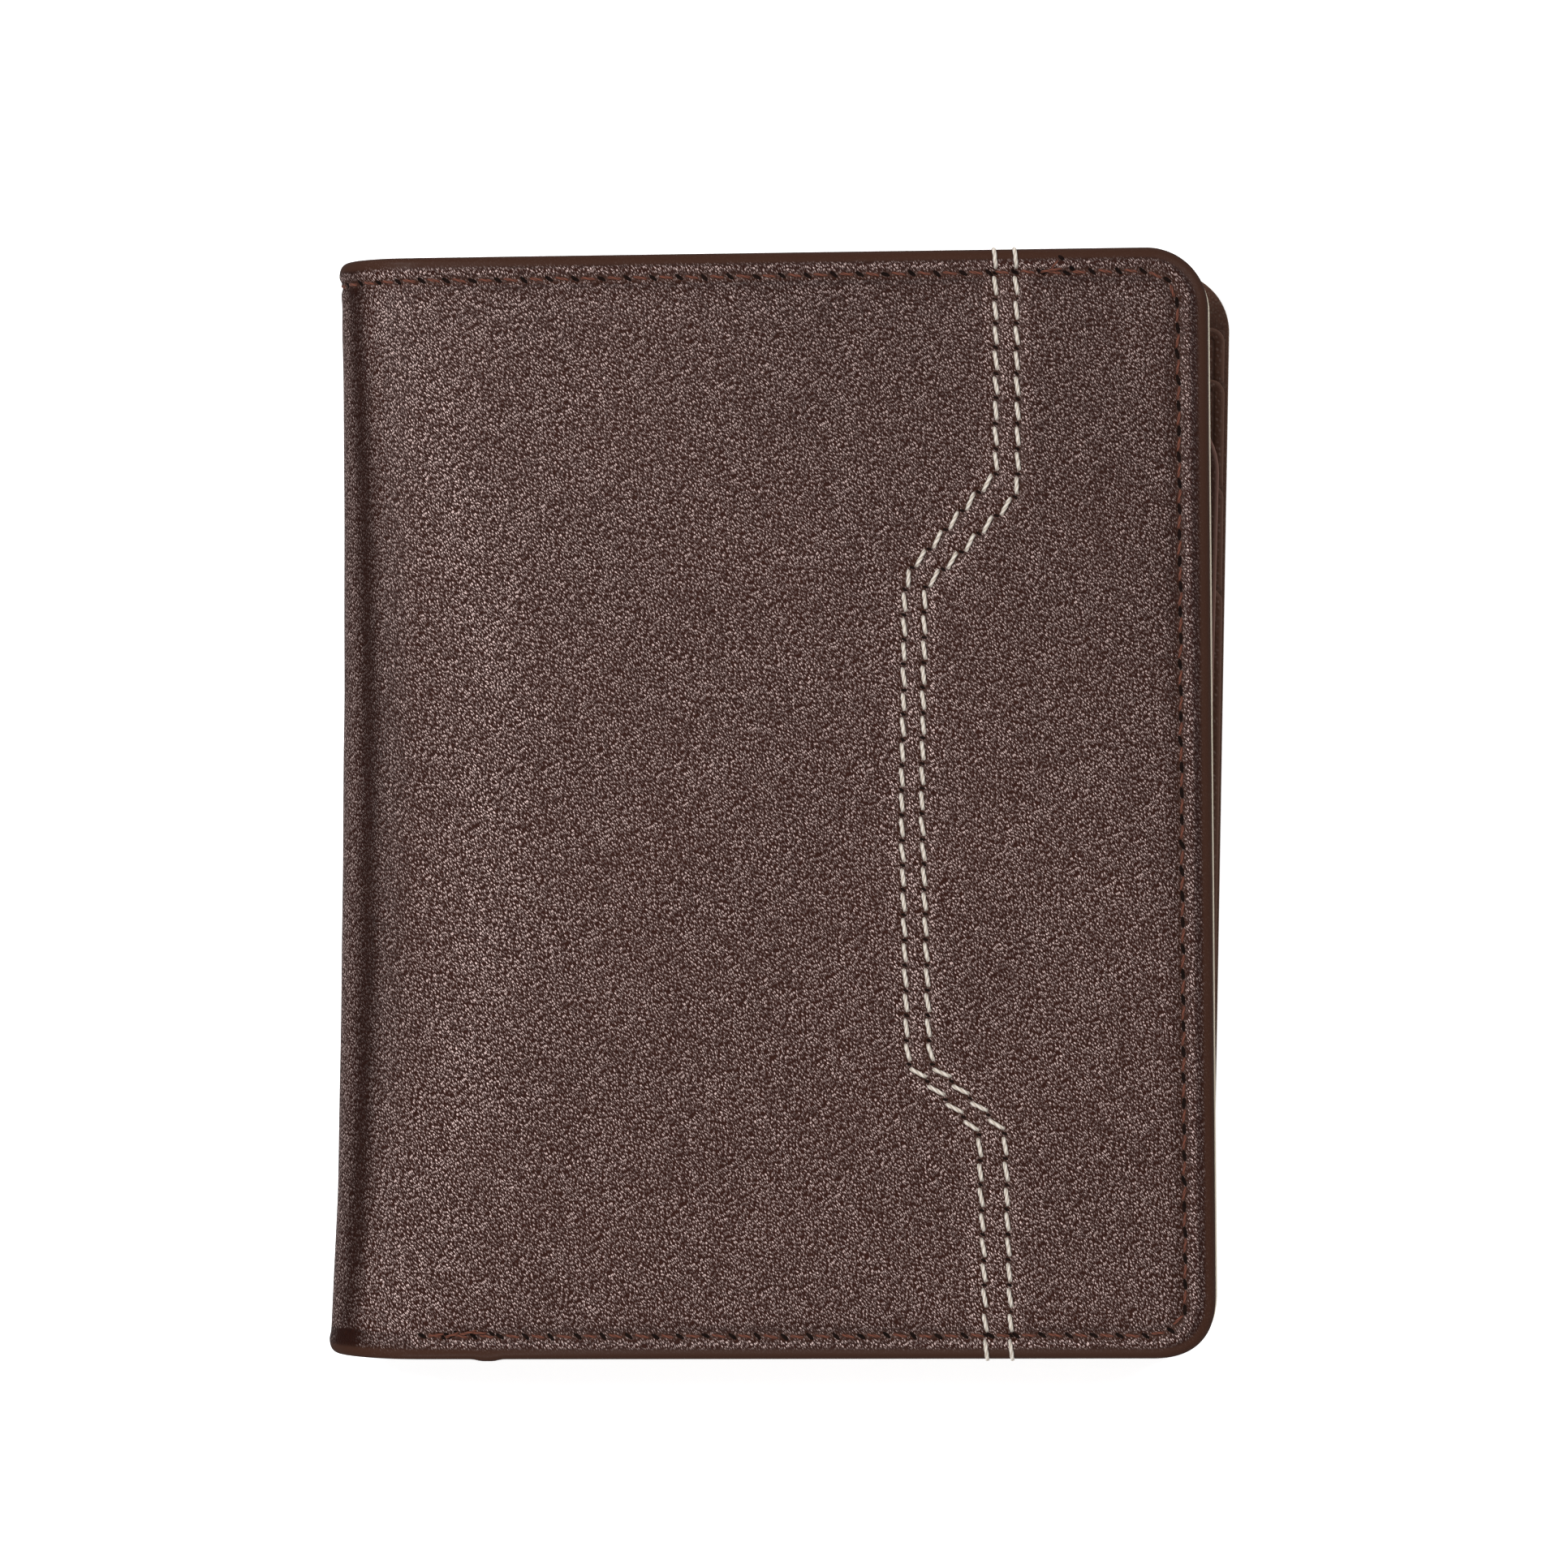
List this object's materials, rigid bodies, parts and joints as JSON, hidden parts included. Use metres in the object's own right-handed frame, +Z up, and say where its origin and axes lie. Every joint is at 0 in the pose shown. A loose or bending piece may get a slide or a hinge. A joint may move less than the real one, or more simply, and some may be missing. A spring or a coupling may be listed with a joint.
{
  "type": "business card case",
  "caption": "Upright folding leather case with a soft rounded spine, stepped card pockets in both halves and a turning inner leaf with a clear window.",
  "frame": {"origin": "middle of the closed case's underside, which is the outside face of the back cover", "axes": "+X from the spine to the opening edge, +Y to the top edge, +Z up through the closed case"},
  "size_m": [0.1, 0.1267, 0.017],
  "materials": {
    "outer_leather": "smooth fine grain, half gloss",
    "inner_leather": "smooth, half matt",
    "lining_leather": "thin lining leather with a raw light edge",
    "leather_board": "pressed fibre board",
    "padding": "thin felt",
    "brown_thread": "twisted polyester",
    "cream_thread": "twisted cotton",
    "clear_film": "clear flexible film"
  },
  "bodies": {
    "back": {"back_cover": "outer_leather", "back_board": "leather_board", "back_padding": "padding", "back_lining": "lining_leather", "back_edge_stitch": "brown_thread", "back_wall_spacer": "lining_leather", "back_pocket_wall": "inner_leather", "back_slot_spacer_1": "lining_leather", "back_slot_spacer_2": "lining_leather", "back_slot_spacer_3": "lining_leather", "back_pocket_1": "inner_leather", "back_pocket_2": "inner_leather", "back_pocket_3": "inner_leather", "leaf_hinge_tab": "inner_leather"},
    "spine": {"spine_cover": "outer_leather", "spine_board": "leather_board", "spine_padding": "padding", "spine_lining": "lining_leather", "spine_edge_stitch": "brown_thread"},
    "front": {"front_cover": "outer_leather", "front_board": "leather_board", "front_padding": "padding", "front_lining": "lining_leather", "front_edge_stitch": "brown_thread", "contrast_stitch_outer": "cream_thread", "contrast_stitch_inner": "cream_thread", "front_wall_spacer": "lining_leather", "front_pocket_wall": "inner_leather", "front_slot_spacer_1": "lining_leather", "front_slot_spacer_2": "lining_leather", "front_slot_spacer_3": "lining_leather", "front_pocket_1": "inner_leather", "front_pocket_2": "inner_leather", "front_pocket_3": "inner_leather"},
    "leaf": {"leaf_front_leather": "inner_leather", "leaf_spacer": "lining_leather", "leaf_rear_leather": "inner_leather", "leaf_window": "clear_film", "leaf_stitch": "brown_thread"}
  },
  "joints": [
    {"name": "back_fold", "type": "hinge", "parent": "back", "child": "spine", "pos_m": [-0.04818, 0, 0.00182], "axis": [0, -1, 0], "range_deg": [0, 90]},
    {"name": "front_fold", "type": "hinge", "parent": "spine", "child": "front", "pos_m": [-0.04818, 0, 0.01518], "axis": [0, -1, 0], "range_deg": [0, 90]},
    {"name": "leaf_turn", "type": "hinge", "parent": "back", "child": "leaf", "pos_m": [-0.042, 0, 0.0085], "axis": [0, -1, 0], "range_deg": [0, 180]}
  ],
  "couplings": [
    {"joint": "front_fold", "follows": "back_fold", "ratio": 1},
    {"joint": "leaf_turn", "follows": "back_fold", "ratio": 2}
  ]
}
